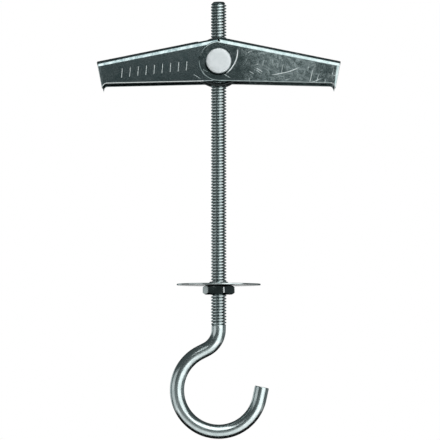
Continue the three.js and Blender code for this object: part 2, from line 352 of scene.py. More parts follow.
def clouds_group():
    """Slow and fine clouds of tone: 0 is dull plating and 1 is bright."""
    inputs = [("Size", FLOAT, 3), ("Contrast", FLOAT, 1)]
    group, given, result = new_group("plating_clouds", inputs, [("Mask", FLOAT)])
    place = node(group, "TexCoord").outputs["Object"]
    scale = math_node(group, "DIVIDE", 1 / MM, given.outputs["Size"])
    slow = node(group, "TexNoise", {"Vector": place, "Scale": scale, "Detail": 3,
                                    "Roughness": 0.6, "Distortion": 0.4})
    fine_scale = math_node(group, "MULTIPLY", scale, FINER)
    fine = node(group, "TexNoise", {"Vector": place, "Scale": fine_scale, "Detail": 2,
                                    "Roughness": 0.7})
    both = math_node(group, "ADD", math_node(group, "MULTIPLY", slow.outputs[0], SLOW_SHARE),
                     math_node(group, "MULTIPLY", fine.outputs[0], FINE_SHARE))
    centred = math_node(group, "SUBTRACT", both, 0.5)
    spread = math_node(group, "MULTIPLY", centred, given.outputs["Contrast"])
    mask = math_node(group, "ADD", math_node(group, "MULTIPLY", spread, CLOUD_GAIN), 0.5,
                     clamp=True)
    plug(group, result.inputs["Mask"], mask)
    return group


clouds = clouds_group()
print("plating clouds ready")

# %% [markdown]
# A hair scratch is thin and nearly straight. A noise texture that is stretched a long way in one
# direction has narrow peaks that run along it, and only its highest peaks are kept. Three such
# layers turned against each other give scratches that cross, as loose pieces in a drum make them.


# %% Hair scratches
SCRATCH_TURNS = (0.35, -0.55, 1.35)  # radians about Y
SCRATCH_STRETCH = 26
SCRATCH_DEPTH = 0.15  # how little the pattern changes through the sheet
LAYER_SHIFT = 0.01  # metres between the layers' places in the noise, so that they differ
PEAK = 0.80  # noise above this is a scratch, at an amount of 0
PEAK_DROP = 0.16  # how much lower that is at an amount of 1
PEAK_EDGE = 0.07


def scratches_group():
    """Thin streaks: 1 on a scratch and 0 elsewhere."""
    inputs = [("Width", FLOAT, 0.12), ("Amount", FLOAT, 0.5)]
    group, given, result = new_group("hair_scratches", inputs, [("Mask", FLOAT)])
    place = node(group, "TexCoord").outputs["Object"]
    scale = math_node(group, "DIVIDE", 0.5 / MM, given.outputs["Width"])
    start = math_node(group, "SUBTRACT", PEAK, math_node(
        group, "MULTIPLY", given.outputs["Amount"], PEAK_DROP))
    masks = []
    for index, turn in enumerate(SCRATCH_TURNS):
        turned = node(group, "Mapping", {"Vector": place, "Rotation": (0, turn, 0),
                                         "Location": (LAYER_SHIFT * index, 0, 0)})
        squeezed = node(group, "Mapping", {"Vector": turned.outputs[0],
                                           "Scale": (1 / SCRATCH_STRETCH, SCRATCH_DEPTH, 1)})
        streaks = node(group, "TexNoise", {"Vector": squeezed.outputs[0], "Scale": scale,
                                           "Detail": 1, "Roughness": 0.4})
        masks.append(remap(group, streaks.outputs[0], start,
                           math_node(group, "ADD", start, PEAK_EDGE)))
    most = math_node(group, "MAXIMUM", masks[0], math_node(group, "MAXIMUM", *masks[1:]))
    plug(group, result.inputs["Mask"], most)
    return group


scratches = scratches_group()
print("hair scratches ready")

# %% [markdown]
# Seen close, plating has a fine grain. It is too small to model, but it breaks up a reflection. So
# a fine noise gives its height, and the bump of each metal takes that up.


# %% Fine grain
def grain_group():
    """A grain as a height, which grows with the strength."""
    inputs = [("Grains per mm", FLOAT, 4), ("Strength", FLOAT, 0.3)]
    group, given, result = new_group("plating_grain", inputs, [("Height", FLOAT)])
    place = node(group, "TexCoord").outputs["Object"]
    scale = math_node(group, "MULTIPLY", given.outputs["Grains per mm"], 1 / MM)
    speck = node(group, "TexNoise", {"Vector": place, "Scale": scale, "Detail": 2,
                                     "Roughness": 0.7})
    height = math_node(group, "MULTIPLY", speck.outputs[0], given.outputs["Strength"])
    plug(group, result.inputs["Height"], height)
    return group


grains = grain_group()
print("fine grain ready")

# %% [markdown]
# One function makes every metal: its tint in the dull and bright clouds, how rough those are, and
# how much of the scratches shows. Scratches are a little brighter and rougher than the plating,
# and they also tilt the surface through a bump. A finish may take masks of its own on top.


# %% The metal
EDGE_TINT = (0.22, 0.25, 0.25, 1)  # plating reflects little at a grazing angle
# Bright scraped metal, the colour of the scratches and also of painted highlights.
SCRATCH_AND_SHEEN = (0.90, 0.93, 0.93, 1)
# The colour of painted shade, in the thread's roots and round the pin.
PAINTED_SHADE_COLOR = (0.035, 0.045, 0.046, 1)
SCRATCH_ROUGHNESS = 0.25  # what a scratch adds
WORN_ROUGHNESS = 0.3
CALM_SHARE = 0.5  # how much of the roughness is gone where the plating is calm
SPECKS = 4  # grains a millimetre
RELIEF = 0.02  # depth of a scratch at a bump of 1


def metal(name, dull, bright, rough, clouds_at, scratches_at, bump=0.1, grain=0.0,
          painted_shade=None, sheen_and_wear=None, calm=None):
    """Steel with a finish. dull and bright are its tints, and rough holds the roughness of both.
    clouds_at is size and contrast, and scratches_at is width and amount, with lengths in
    millimetres. The last three may be functions that give a mask: where painted shade darkens the
    metal, where it is painted bright and made rougher, for painted highlights and for wear, and
    where it is smoother."""
    made = bpy.data.materials.new(name)
    made.use_nodes = True
    tree = made.node_tree
    shader = tree.nodes["Principled BSDF"]
    shader.inputs["Metallic"].default_value = 1
    shader.inputs["Specular Tint"].default_value = EDGE_TINT
    cloud = node(tree, "Group", dict(zip(("Size", "Contrast"), clouds_at)), node_tree=clouds)
    hair = node(tree, "Group", dict(zip(("Width", "Amount"), scratches_at)), node_tree=scratches)
    color = mix_colors(tree, cloud.outputs["Mask"], dull, bright)
    color = mix_colors(tree, hair.outputs["Mask"], color, SCRATCH_AND_SHEEN)
    # Painted shade where its mask gives it.
    if painted_shade:
        color = mix_colors(tree, painted_shade(tree), color, PAINTED_SHADE_COLOR)
    torn = math_node(tree, "MULTIPLY", hair.outputs["Mask"], SCRATCH_ROUGHNESS)
    roughness = math_node(tree, "ADD", torn, remap(tree, cloud.outputs["Mask"], 0, 1, *rough,
                                                   smooth=False))
    if calm:
        smoothed = math_node(tree, "MULTIPLY", calm(tree), CALM_SHARE)
        left = math_node(tree, "SUBTRACT", 1, smoothed)
        roughness = math_node(tree, "MULTIPLY", roughness, left)
    # Painted highlights, and scraped wear, where their mask gives them.
    if sheen_and_wear:
        sheen_share = sheen_and_wear(tree)
        color = mix_colors(tree, sheen_share, color, SCRATCH_AND_SHEEN)
        scuffs = math_node(tree, "MULTIPLY", sheen_share, WORN_ROUGHNESS)
        roughness = math_node(tree, "ADD", roughness, scuffs)
    plug(tree, shader.inputs["Base Color"], color)
    plug(tree, shader.inputs["Roughness"], roughness)
    height = math_node(tree, "MULTIPLY", hair.outputs["Mask"], -1)
    if grain:
        crust = node(tree, "Group", {"Grains per mm": SPECKS, "Strength": grain},
                     node_tree=grains)
        height = math_node(tree, "ADD", height, crust.outputs["Height"])
    relief = node(tree, "Bump", {"Height": height, "Strength": bump, "Distance": RELIEF * MM})
    plug(tree, shader.inputs["Normal"], relief.outputs[0])
    return made


print("metal ready")

# %% [markdown]
# Painted shade and painted light follow the shape: painted shade in the thread's roots, painted
# light on the nut's left flat and on some of its corners, and an arc of painted highlight beside
# the pin. So these masks are made from distances, to the rod's axis or to the pivot, and not from
# noise.

# %% Masks on the rod and the nut
SHADED_ROOTS = (1.92, 1.60)  # radii between which the painted shade sets in
ROOT_SHADE = 0.45
ROOTS_FROM = (-11.2, -10.6)  # heights: there is none on the plain wire
# Painted light on the hex nut: a glint on some corners, and a lighter left flat.
GLINT_CORNERS = (4.08, 4.18)  # radii
CORNERS_FROM = (0, 0.5)  # across: only the corners on one side get a painted glint
LIT_FLAT = (-2.72, -2.85)  # across
LIT_FLAT_SHARE = 0.6


def flat_length(tree, first, second):
    """The length of a step from its two parts."""
    step = node(tree, "CombineXYZ", {0: first, 1: second}).outputs[0]
    return node(tree, "VectorMath", {0: step}, operation="LENGTH").outputs["Value"]


def axis_distance(tree):
    """Distance from the rod's axis, the place across and the height, in millimetres."""
    parts = node(tree, "SeparateXYZ", {0: node(tree, "TexCoord").outputs["Object"]}).outputs
    distance = flat_length(tree, parts["X"], parts["Y"])
    return [math_node(tree, "DIVIDE", value, MM) for value in (distance, parts["X"], parts["Z"])]


def thread_root_shade(tree):
    """Painted shade in the roots of the thread."""
    radius, _, height = axis_distance(tree)
    root_shade = math_node(tree, "MULTIPLY", remap(tree, radius, *SHADED_ROOTS), ROOT_SHADE)
    return math_node(tree, "MULTIPLY", root_shade, remap(tree, height, *ROOTS_FROM))


def nut_painted_light(tree):
    """Painted light: a bright glint on some corners on one side, and the left flat painted
    lighter.
    """
    radius, across, _ = axis_distance(tree)
    lit_side = remap(tree, across, *LIT_FLAT, 0, LIT_FLAT_SHARE)
    corners = math_node(tree, "MULTIPLY", remap(tree, radius, *GLINT_CORNERS),
                        remap(tree, across, *CORNERS_FROM))
    return math_node(tree, "MAXIMUM", lit_side, corners)


print("rod and nut masks ready")

# %% Masks on the wings
ARC_FADE = 0.2  # share of an arc over which each end fades
# A painted highlight, in an arc where a raised rim round the pin's hole would catch the light.
LIT_ARC = ((-2.7, 2.8), 7.62, 0.20, -56, 6)  # centre, radius, width, start and end in degrees
LONG_SCRATCH = ((11.7, 18.7), 22.4, 0.14, -86, -65)
LONG_SCRATCH_WEAR = 0.6
# A painted shadow round the pin's head, most of it at the lower left.
PIN_SHADOW = ((0, 0), 3.5, 0.36, -185, -35)
CALM_PIVOT = (13, 1)  # across: it grows calmer between these
CALM_END = (22, 28)
CALM_AT_END = 0.5


def pivot_distance(tree):
    """The place across and above the pivot, in millimetres."""
    parts = node(tree, "SeparateXYZ", {0: node(tree, "TexCoord").outputs["Object"]}).outputs
    across, height = (math_node(tree, "DIVIDE", parts[axis], MM) for axis in "XZ")
    return across, math_node(tree, "SUBTRACT", height, PIVOT_HEIGHT)


def arc_mark(tree, centre, radius, width, start, end):
    """A thin arc on a flange, from start to end in degrees about a centre near the pivot."""
    across, above = pivot_distance(tree)
    x = math_node(tree, "SUBTRACT", across, centre[0])
    z = math_node(tree, "SUBTRACT", above, centre[1])
    distance = flat_length(tree, x, z)
    off = math_node(tree, "ABSOLUTE", math_node(tree, "SUBTRACT", distance, radius))
    line = remap(tree, off, width, width / 3)
    angle = math_node(tree, "DEGREES", math_node(tree, "ARCTAN2", z, x))
    begun = remap(tree, angle, start, start + (end - start) * ARC_FADE)
    ended = remap(tree, angle, end, end - (end - start) * ARC_FADE)
    return math_node(tree, "MULTIPLY", line, math_node(tree, "MULTIPLY", begun, ended))


def wing_sheen_and_scratch(tree):
    """A painted highlight in an arc beside the pin, where a raised rim round the hole would catch
    the light, and one long scratch.
    """
    long_scratch = math_node(tree, "MULTIPLY", LONG_SCRATCH_WEAR, arc_mark(tree, *LONG_SCRATCH))
    return math_node(tree, "MAXIMUM", arc_mark(tree, *LIT_ARC), long_scratch)


def calm_plating(tree):
    """The flange is smoother near the pivot and at its end than between them."""
    across = pivot_distance(tree)[0]
    return math_node(tree, "MAXIMUM", remap(tree, across, *CALM_PIVOT),
                     remap(tree, across, *CALM_END, 0, CALM_AT_END))


def pin_shadow(tree):
    """A painted shadow in the corner round the pin's head, most of it at the lower left."""
    return arc_mark(tree, *PIN_SHADOW)


print("wing masks ready")

# %% [markdown]
# Now the eight finishes. The wings are one plating: the left one is clean and its darker tint is
# painted shade, and the right one is scuffed and its lighter tint is painted light. The sheared
# edges are the brightest, because the press tool slid along them. The cross nut's heads were
# hammered over, which leaves them matte and white. The hex nut's dark tint is painted shade from
# the washer above it, and the bare wire of the spring is dark too.

# %% The eight finishes
# The left wing's darker tint is painted shade, and the right wing's lighter tint is painted light.
shaded_wing_finish = metal(
    "zinc_plated_sheet", dull=(0.24, 0.32, 0.33, 1), bright=(0.58, 0.66, 0.67, 1),
    rough=(0.14, 0.10), clouds_at=(2.4, 1.9), scratches_at=(0.12, 0.15), bump=0.2, grain=0.2)
scuffed_and_lit_wing_finish = metal(
    "zinc_plated_sheet_scuffed_and_lit", dull=(0.38, 0.47, 0.47, 1), bright=(0.58, 0.66, 0.66, 1),
    rough=(0.14, 0.21), clouds_at=(1.6, 1.8), scratches_at=(0.12, 0.5), bump=0.3, grain=0.4,
    painted_shade=pin_shadow, sheen_and_wear=wing_sheen_and_scratch, calm=calm_plating)
rod_finish = metal(
    "zinc_plated_rod", dull=(0.60, 0.68, 0.68, 1), bright=(0.78, 0.85, 0.85, 1),
    rough=(0.27, 0.15), clouds_at=(1.8, 1.5), scratches_at=(0.15, 0.3), bump=0.35, grain=0.6,
    painted_shade=thread_root_shade)
edge_finish = metal(
    "zinc_plated_edge", dull=(0.88, 0.93, 0.93, 1), bright=(0.95, 0.98, 0.98, 1),
    rough=(0.18, 0.12), clouds_at=(2, 1.0), scratches_at=(0.12, 0.2), bump=0.2, grain=0.3)
bar_finish = metal(
    "zinc_plated_bar", dull=(0.80, 0.83, 0.84, 1), bright=(0.92, 0.94, 0.95, 1),
    rough=(0.62, 0.52), clouds_at=(1.5, 1.0), scratches_at=(0.12, 0.3), bump=0.6, grain=1.0)
spring_finish = metal(
    "spring_steel", dull=(0.03, 0.035, 0.035, 1), bright=(0.07, 0.08, 0.08, 1),
    rough=(0.26, 0.20), clouds_at=(2, 1.0), scratches_at=(0.12, 0.05))
washer_finish = metal(
    "zinc_plated_washer", dull=(0.58, 0.64, 0.64, 1), bright=(0.78, 0.84, 0.84, 1),
    rough=(0.22, 0.14), clouds_at=(4, 1.0), scratches_at=(0.12, 0.4), bump=0.3, grain=0.3)
# The nut's dark tint is painted shade from the washer above it, and its mask adds painted light.
shaded_nut_finish = metal(
    "zinc_plated_nut_shade_and_sheen", dull=(0.07, 0.09, 0.09, 1), bright=(0.16, 0.19, 0.19, 1),
    rough=(0.20, 0.13), clouds_at=(2, 1.0), scratches_at=(0.12, 0.3), bump=0.3, grain=0.3,
    sheen_and_wear=nut_painted_light)
print("eight finishes")

# %% [markdown]
# ## Making a mesh
#
# A machined or rolled piece is easiest to describe as rows of points: rings round an axis, or
# sections along a wire. These helpers join such rows with quads, merge the points that fall
# together and hand the mesh over in metres. Weighted normals then let the large faces keep their
# true direction, so a flat stays flat while the small faces at its edge shade round.


# %% Mesh helpers
SHARP = math.radians(42)
MERGE = 1e-3  # millimetres


def rows_to_mesh(blocks, caps=()):
    """One bmesh from blocks of rows of points, with a face over each ring in caps. The first and
    last point of a row may coincide."""
    mesh = bmesh.new()
    for rows in blocks:
        grid = [[mesh.verts.new(point) for point in row] for row in rows]
        for lower, upper in zip(grid, grid[1:]):
            for i in range(len(lower) - 1):
                mesh.faces.new((lower[i], lower[i + 1], upper[i + 1], upper[i]))
    for ring in caps:
        mesh.faces.new([mesh.verts.new(point) for point in ring])
    bmesh.ops.remove_doubles(mesh, verts=mesh.verts, dist=MERGE)
    bmesh.ops.dissolve_degenerate(mesh, edges=mesh.edges, dist=MERGE / 2)
    bmesh.ops.recalc_face_normals(mesh, faces=mesh.faces)
    return mesh


def add_piece(name, mesh, finish, body=None, stands_for=None, weighted=True):
    """Hands a bmesh in millimetres over as an object that rides on a body."""
    data = bpy.data.meshes.new(name)
    bmesh.ops.scale(mesh, vec=(MM, MM, MM), verts=mesh.verts)
    mesh.to_mesh(data)
    mesh.free()
    data.materials.append(finish)
    made = bpy.data.objects.new(name, data)
    bpy.context.scene.collection.objects.link(made)
    data.shade_smooth()
    if weighted:
        data.set_sharp_from_angle(angle=SHARP)
        normals = made.modifiers.new("weighted", "WEIGHTED_NORMAL")
        normals.keep_sharp = True
    if body:
        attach(made, body)
    if stands_for:
        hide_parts(stands_for)
    print(f"{name}: {len(data.polygons)} faces")
    return made


def ring_at(radius, height, angles):
    """A ring of points about Z."""
    return [Vector((radius * math.cos(a), radius * math.sin(a), height)) for a in angles]


print("mesh helpers ready")

# %% [markdown]
# ## The thread
#
# The rod's thread is rolled, so its crests and roots are rounded, and it climbs 0.77 mm a turn. A
# spiral could be swept with the Screw modifier, but a formula is shorter: at each angle the
# profile is the same, moved up by that share of a turn. Heights beyond an end of the thread are
# moved to the end, where the profile meets a plain ring, and the merged points close the mesh.

# %% The thread's profile
PITCH = 0.772
THREAD_DEPTH = 0.475
# From the middle of a crest to the middle of a root: share of the pitch and share of the depth.
CREST_PROFILE = [(0, 0), (0.15, 0), (0.20, 0.10), (0.40, 0.90), (0.44, 1), (0.5, 1)]
ROD_SIDES = 48

rod_high = corners_mm("hook_rod")[1]
crest_radius = rod_high.y
shares, depths = zip(*CREST_PROFILE)
phases = sorted({*shares[1:-1], *(1 - share for share in shares[1:-1])})


def thread_radius(angle, height):
    """Radius of the rod's thread at a place, apart from its ends."""
    phase = (height / PITCH - angle / (2 * math.pi)) % 1
    return crest_radius - THREAD_DEPTH * np.interp(min(phase, 1 - phase), shares, depths)


def thread_rows(low, high, radius_at, sides=ROD_SIDES):
    """Rows of a right-hand thread between two heights."""
    rows = []
    for turn in range(math.floor(low / PITCH) - 2, math.ceil(high / PITCH) + 1):
        for phase in phases:
            row = []
            for i in range(sides + 1):
                angle = 2 * math.pi * i / sides
                height = (turn + phase + i / sides) * PITCH
                height = min(max(height, low), high)
                radius = radius_at(angle, height)
                row.append(Vector((radius * math.cos(angle), radius * math.sin(angle), height)))
            rows.append(row)
    return rows


print(f"crest radius {crest_radius:.2f} mm, {len(phases)} rows a turn")

# %% [markdown]
# ## The hook rod
#
# Below the thread the same wire is plain. It bends away from the axis in a short neck and comes
# back as the ring of the hook, so the load hangs under the rod. A curve with a round bevel would
# draw it, but the sections are made here one by one, because the first one has to meet the thread
# point for point. The line is two arcs with straights between, and it ends in a flat cut.

# %% The hook's line
WIRE = 3.7  # diameter
ROD_CHAMFER = 0.6
THREAD_END = -11.0
RUN_OUT = 0.7
NECK_STRAIGHT = 0.8  # from the thread to the first bend
NECK_BEND = 5.85  # radii are those of the wire's middle line
BETWEEN_BENDS = 2.0
HOOK_BEND = 10.8
HOOK_TIP = 3.1  # the straight end after the ring
HOOK_TIP_AT = math.radians(-12)  # direction from the ring's centre to the end of its arc
ARC_STEP = math.radians(2)
CUT_ROUNDING = 0.18


def arc_stations(centre, radius, start, end):
    """Points and directions along an arc in the XZ plane."""
    count = max(2, round(abs(end - start) / ARC_STEP))
    way = 1 if end > start else -1
    for i in range(count + 1):
        angle = start + (end - start) * i / count
        out = Vector((math.cos(angle), 0, math.sin(angle)))
        yield centre + radius * out, way * Vector((-out.z, 0, out.x))


def hook_stations():
    """The line from the thread's end through both bends, and the centre of the ring."""
    bend_start = Vector((0, 0, THREAD_END - NECK_STRAIGHT))
    neck_centre = bend_start - Vector((NECK_BEND, 0, 0))
    # The bends turn opposite ways, so the straight between them crosses the line of their centres.
    radii = NECK_BEND + HOOK_BEND
    centres = math.hypot(radii, BETWEEN_BENDS)
    drop = math.sqrt(centres**2 - NECK_BEND**2)
    ring_centre = Vector((0, 0, bend_start.z - drop))
    neck_turn = math.atan2(drop, NECK_BEND) - math.acos(radii / centres)
    down = Vector((0, 0, -1))
    stations = [(Vector((0, 0, THREAD_END)), down)]
    stations += arc_stations(neck_centre, NECK_BEND, 0, -neck_turn)
    stations += arc_stations(ring_centre, HOOK_BEND, math.pi - neck_turn,
                             2 * math.pi + HOOK_TIP_AT)
    return stations, ring_centre


stations, ring_centre = hook_stations()
print(f"{len(stations)} stations, ring centre at {ring_centre.z:.2f} mm")


# %% The hook rod
def rod_radius(angle, height):
    """The thread, with its run-out below and its chamfer above."""
    share = min(1, (height - THREAD_END) / RUN_OUT)
    share = share * share * (3 - 2 * share)
    radius = WIRE / 2 + (thread_radius(angle, height) - WIRE / 2) * share
    return min(radius, crest_radius - ROD_CHAMFER + rod_high.z - height)


def wire_ring(point, tangent, radius, sides):
    """A section across a wire whose line lies in a plane across Y."""
    side = Vector((-tangent.z, 0, tangent.x))
    angles = [2 * math.pi * i / sides for i in range(sides + 1)]
    return [point + radius * (math.cos(a) * side + math.sin(a) * Vector((0, 1, 0)))
            for a in angles]


rings = [wire_ring(*station, WIRE / 2, ROD_SIDES) for station in stations]
point, tangent = stations[-1]
for angle in (0, math.pi / 4, math.pi / 2):
    along = HOOK_TIP - CUT_ROUNDING * (1 - math.sin(angle))
    radius = WIRE / 2 - CUT_ROUNDING * (1 - math.cos(angle))
    rings.append(wire_ring(point + along * tangent, tangent, radius, ROD_SIDES))

threaded = thread_rows(THREAD_END, rod_high.z, rod_radius)
top = ring_at(crest_radius - ROD_CHAMFER, rod_high.z,
              [2 * math.pi * i / ROD_SIDES for i in range(ROD_SIDES)])
add_piece("hook_rod_threaded", rows_to_mesh([threaded, rings], [top, rings[-1][:-1]]),
          rod_finish, "rod", "hook_rod")

# %% [markdown]
# ## The cross nut
#
# The wings turn on a bar that lies across the rod and is threaded onto it. It was turned on a
# lathe: a thick middle, two journals for the wings' ears, and the ends, which are peened over
# into flat heads. A lathe makes a solid of revolution, so a profile is turned about Y here, with
# each corner as a small arc. The hole is cut with a Boolean. The real one is tapped, but here the
# toggle slides along the rod without turning, so the crests of its thread are left off: they would
# cut through the rod's thread on the way. The rod fills the hole, so they wouldn't show.

# %% The cross nut's profile
NUT_BODY = 4.0  # radii
JOURNAL = 2.5
HEAD = 3.25
HEAD_THICKNESS = 1.0
HEAD_ROUNDING = 0.28
HEAD_BACK_ROUNDING = 0.08
HEAD_RING = 0.55  # a ring on the head's face, as a share of its radius, keeps the face flat
BODY_ROUNDING = 0.2
BODY_END = 3.3  # distances from the rod's axis
BORE_GAP = 0.05
BORE_MOUTH = 0.4
CORNER_STEPS = 4
BAR_SIDES = 96

bar_high = corners_mm("cross_nut")[1]
head_end = bar_high.y
head_start = head_end - HEAD_THICKNESS


def rounded_corner(radius, height, size, before, after):
    """Points of a quarter arc for a corner, between the directions before and after it."""
    points = []
    for i in range(CORNER_STEPS + 1):
        angle = math.pi / 2 * i / CORNER_STEPS
        back, on = size * (1 - math.sin(angle)), size * (1 - math.cos(angle))
        points.append((radius - before[0] * back + after[0] * on,
                       height - before[1] * back + after[1] * on))
    return points


def turned_rows(profile, sides, closed=False):
    """Rows for a solid of revolution about Z from points of radius and height."""
    points = [*profile, profile[0]] if closed else profile
    angles = [2 * math.pi * i / sides for i in range(sides + 1)]
    return [ring_at(radius, height, angles) for radius, height in points]


half = [(NUT_BODY, 0)]
half += rounded_corner(NUT_BODY, BODY_END, BODY_ROUNDING, (0, 1), (-1, 0))
half += [(JOURNAL, BODY_END), (JOURNAL, head_start)]
half += rounded_corner(HEAD, head_start, HEAD_BACK_ROUNDING, (1, 0), (0, 1))
half += rounded_corner(HEAD, head_end, HEAD_ROUNDING, (0, 1), (-1, 0))
half += [(HEAD * HEAD_RING, head_end), (0, head_end)]
bar_profile = [(radius, -height) for radius, height in reversed(half)] + half[1:]
print(f"{len(bar_profile)} profile points, heads end at {head_end:.1f} mm")


# %% The cross nut
def cut_out(piece, cutter_mesh):
    """Cuts a closed bmesh in metres out of a piece, before its other modifiers."""
    data = bpy.data.meshes.new("cutter")
    cutter_mesh.to_mesh(data)
    cutter_mesh.free()
    cutter = bpy.data.objects.new("cutter", data)
    bpy.context.scene.collection.objects.link(cutter)
    cut = piece.modifiers.new("cut", "BOOLEAN")
    cut.object = cutter
    cut.solver = "EXACT"
    piece.modifiers.move(len(piece.modifiers) - 1, 0)
    graph = bpy.context.evaluated_depsgraph_get()
    result = bpy.data.meshes.new_from_object(piece.evaluated_get(graph))
    piece.modifiers.remove(cut)
    piece.data = result
    bpy.data.objects.remove(cutter)


bar = rows_to_mesh([turned_rows(bar_profile, BAR_SIDES)])
bmesh.ops.rotate(bar, matrix=Matrix.Rotation(math.radians(-90), 3, "X"), verts=bar.verts)
bmesh.ops.translate(bar, vec=(0, 0, PIVOT_HEIGHT), verts=bar.verts)
cross_nut = add_piece("cross_nut_turned", bar, bar_finish, "toggle", "cross_nut")

bore_radius = crest_radius + BORE_GAP
mouth_radius = bore_radius + 2 * BORE_MOUTH
drill_half = [(bore_radius, NUT_BODY - BORE_MOUTH), (mouth_radius, NUT_BODY + BORE_MOUTH),
              (0, NUT_BODY + 2 * BORE_MOUTH)]
drill_profile = [(radius, -height) for radius, height in reversed(drill_half)] + drill_half
drill = rows_to_mesh([turned_rows(drill_profile, ROD_SIDES)])
bmesh.ops.translate(drill, vec=(0, 0, PIVOT_HEIGHT), verts=drill.verts)
bmesh.ops.scale(drill, vec=(MM, MM, MM), verts=drill.verts)
cut_out(cross_nut, drill)
print(f"cross nut after the drill: {len(cross_nut.data.polygons)} faces")

# %% [markdown]
# ## The wings
#
# Each wing is pressed from a flat blank: its outline, the slot for the rod and the holes for the
# cross nut are stamped out, and then both long sides are bent down. The mesh is made the same
# way. The flat outline is filled with triangles, lines along it mark the steps of the two bends,
# and every point is then folded with the sheet's thickness to both sides of its middle.
#
# Stamping pulls the edge of the upper face down into a soft roll and leaves the lower face
# sharp, so the rim is a row of small steps: a wide arc outside and a narrow one inside. Because
# the fold is a formula, each point also gets its exact normal.

# %% The wing's sizes
SHEET = 0.7
WING_WIDTH = 9.0
WEB_HEIGHT = 6.3  # of the web's upper face, over the pivot
INSIDE_BEND = 0.8
WING_REACH = 31.05
EAR = 5.2  # radius
INNER_EAR = 5.037
EAR_BLEND = 4.0  # from where the ear's circle ends to the straight edge
WEB_TILT = math.radians(11.4)  # how far the open wing slopes
TAPER = math.radians(10.1)  # between the web and the flange's edge
CLAW_WIDTH = 0.9
CLAW_DEPTH = 1.3
STOP = 0.15  # half the gap between the inner ends of the two wings
SLOT_REACH = 4.4
SLOT_HALF = 3.25
SLOT_CORNER = 0.8
PIN_HOLE = 2.6
OUTER_FACE = 4.9  # the outer flange's outer face, from the rod's axis

mid_bend = INSIDE_BEND + SHEET / 2
shoulder = WEB_HEIGHT - INSIDE_BEND - SHEET
web_middle = WING_WIDTH / 2 - OUTER_FACE
web_half = WING_WIDTH / 2 - INSIDE_BEND - SHEET
bend_end = web_half + mid_bend * math.pi / 2
pin_line = bend_end + shoulder
print(f"blank half width at the pivot {pin_line:.2f} mm")


# %% Fold a point of the blank
def fold(u, v, w):
    """A point of the blank, w above its middle, folded into the wing: place, normal, direction
    in which v grows."""
    side = 1 if v >= 0 else -1
    across = abs(v)
    if across <= web_half:
        angle = 0
        place = Vector((u, web_middle + v, shoulder + mid_bend + w))
    else:
        angle = min((across - web_half) / mid_bend, math.pi / 2)
        radius = mid_bend + w
        past = max(0, across - bend_end)
        place = Vector((u, web_middle + side * (web_half + radius * math.sin(angle)),
                        shoulder + radius * math.cos(angle) - past))
    normal = Vector((0, side * math.sin(angle), math.cos(angle)))
    along = Vector((0, math.cos(angle), -side * math.sin(angle)))
    return place, normal, along


def blank_line(height):
    """How far from the blank's middle line a height on the flange or bend lies."""
    if height <= shoulder:
        return pin_line - height
    return web_half + mid_bend * math.acos(min(1, (height - shoulder) / mid_bend))


print("fold ready")


# %% One side of the blank's outline
OUTLINE_STEP = math.radians(6)
STOP_POINTS = 8
CLAW_LEAD = 0.5  # the curve into the claw starts this far before it
CLAW_CURVE = (0.35, 0.7, 0.9)
CLAW_TIP = 0.1  # how much of the claw's point is cut off
CLAW_CORNER = 0.06
# How wide the roll of the edge is: at the stop and the claw's tip, in the slot and the holes, on
# the claw, at the end, round the ear, and along the flange.
STOP_ROLL, HOLE_ROLL, CLAW_ROLL, END_ROLL, EAR_ROLL, LONG_ROLL = 0.1, 0.12, 0.2, 0.22, 0.3, 0.34


def arc_points(centre, radius, start, end):
    """Points along an arc in the plane of the blank."""
    count = max(2, round(abs(end - start) / OUTLINE_STEP))
    for i in range(count + 1):
        angle = start + (end - start) * i / count
        yield centre[0] + radius * math.cos(angle), centre[1] + radius * math.sin(angle)


def side_outline(ear):
    """One flange from the web's inner end round the ear to the claw, as distance along the wing,
    height over the pivot and roll of the edge."""
    def stop_at(height):
        """Where the wing's inner end stands upright once the wing is open."""
        return (STOP - height * math.sin(WEB_TILT)) / math.cos(WEB_TILT)

    def edge_at(x):
        """Height of the flange's straight edge."""
        return x * math.tan(TAPER) - EAR / math.cos(TAPER)

    # The upright stop meets the ear's circle above the pivot, and on the tilted wing that is at
    # the angle start.
    top = math.sqrt(ear**2 - STOP**2)
    start = math.atan2(STOP * math.sin(WEB_TILT) + top * math.cos(WEB_TILT),
                       STOP * math.cos(WEB_TILT) - top * math.sin(WEB_TILT))
    first = ear * math.sin(start)
    mid_height = shoulder + mid_bend
    heights = [mid_height + (first - mid_height) * i / STOP_POINTS for i in range(STOP_POINTS)]
    outline = [(stop_at(height), height, STOP_ROLL) for height in heights]
    join_x = EAR * math.sin(TAPER) + EAR_BLEND * math.cos(TAPER)
    join = (join_x, edge_at(join_x))
    if ear == EAR:
        touch = TAPER - math.pi / 2
    else:  # the inner ear is smaller, and the edge falls back to touch it
        touch = math.atan2(join[1], join[0]) - math.acos(ear / math.hypot(*join))
    turned = arc_points((0, 0), ear, start, touch + 2 * math.pi)
    outline += [(x, z, EAR_ROLL) for x, z in turned]
    outline.append((*join, LONG_ROLL))
    lead = WING_REACH - CLAW_WIDTH - CLAW_LEAD
    outline.append((lead, edge_at(lead), LONG_ROLL))
    for share in CLAW_CURVE:
        x = lead + (CLAW_WIDTH + CLAW_LEAD - CLAW_TIP) * share
        outline.append((x, edge_at(x) - CLAW_DEPTH * share**3, CLAW_ROLL))
    foot = edge_at(WING_REACH) - CLAW_DEPTH
    outline.append((WING_REACH - CLAW_CORNER, foot, STOP_ROLL))
    outline.append((WING_REACH, foot + CLAW_TIP, STOP_ROLL))
    outline.append((WING_REACH, shoulder, END_ROLL))
    return outline


print(f"{len(side_outline(EAR))} points along a side")


# %% The blank's outline
SLOT_CLEAR = 0.05  # points of the side nearer the slot's corner than this are left out


